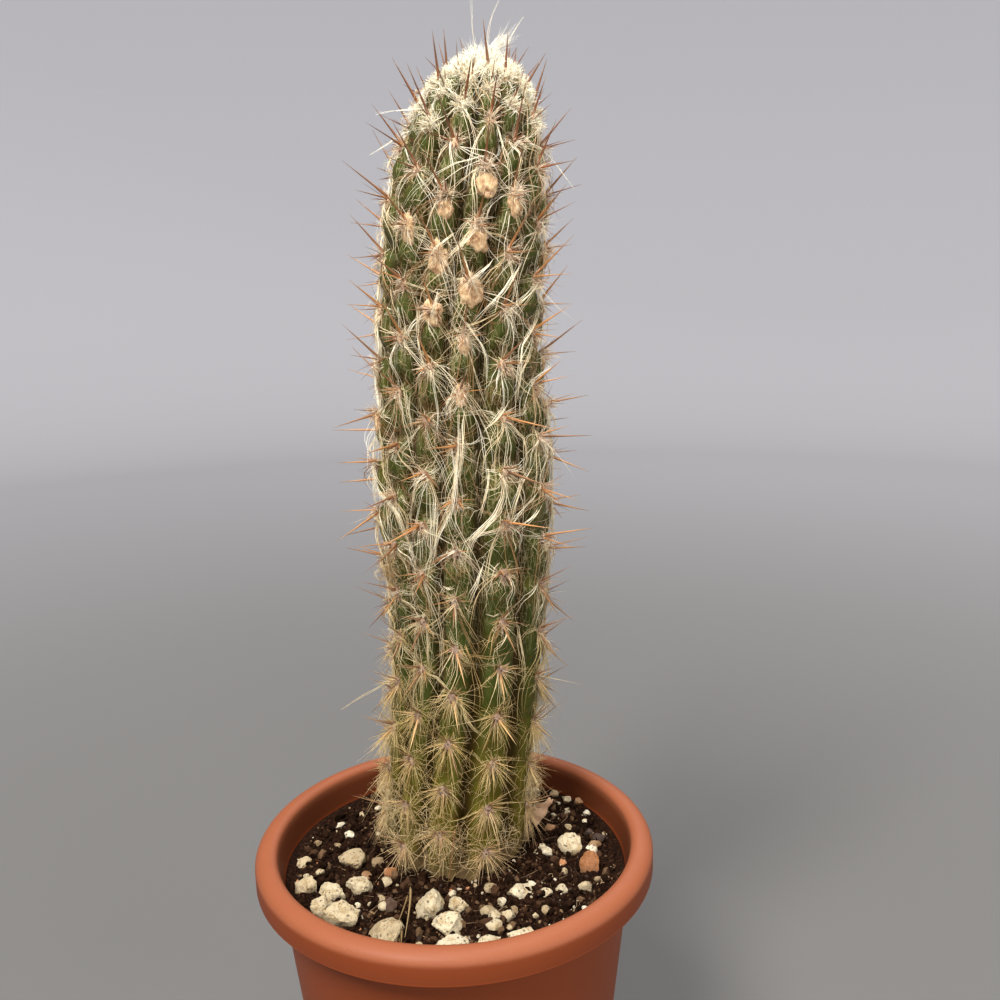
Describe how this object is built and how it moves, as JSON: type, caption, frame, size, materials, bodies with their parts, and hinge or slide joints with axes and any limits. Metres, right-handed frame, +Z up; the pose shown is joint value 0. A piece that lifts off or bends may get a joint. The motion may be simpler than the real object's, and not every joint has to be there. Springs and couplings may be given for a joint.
{
  "type": "potted oreocereus cactus",
  "caption": "Single ribbed columnar cactus with spines, long white hairs and a woolly tip, standing in gravelly soil in a round terracotta-coloured plastic pot.",
  "frame": {"origin": "middle of the pot's foot, on the surface that it stands on", "axes": "+Z up along the height; the pictured front faces -Y and +X is to its right"},
  "size_m": [0.17, 0.17, 0.475],
  "materials": {
    "terracotta_plastic": "satin",
    "potting_mix": "matte",
    "cactus_skin": "satin",
    "wool": "matte",
    "spine": "satin",
    "pumice": "matte"
  },
  "bodies": {
    "root": {"pot": "terracotta_plastic", "soil": "potting_mix", "stem": "cactus_skin", "crown_wool": "wool"}
  },
  "joints": []
}
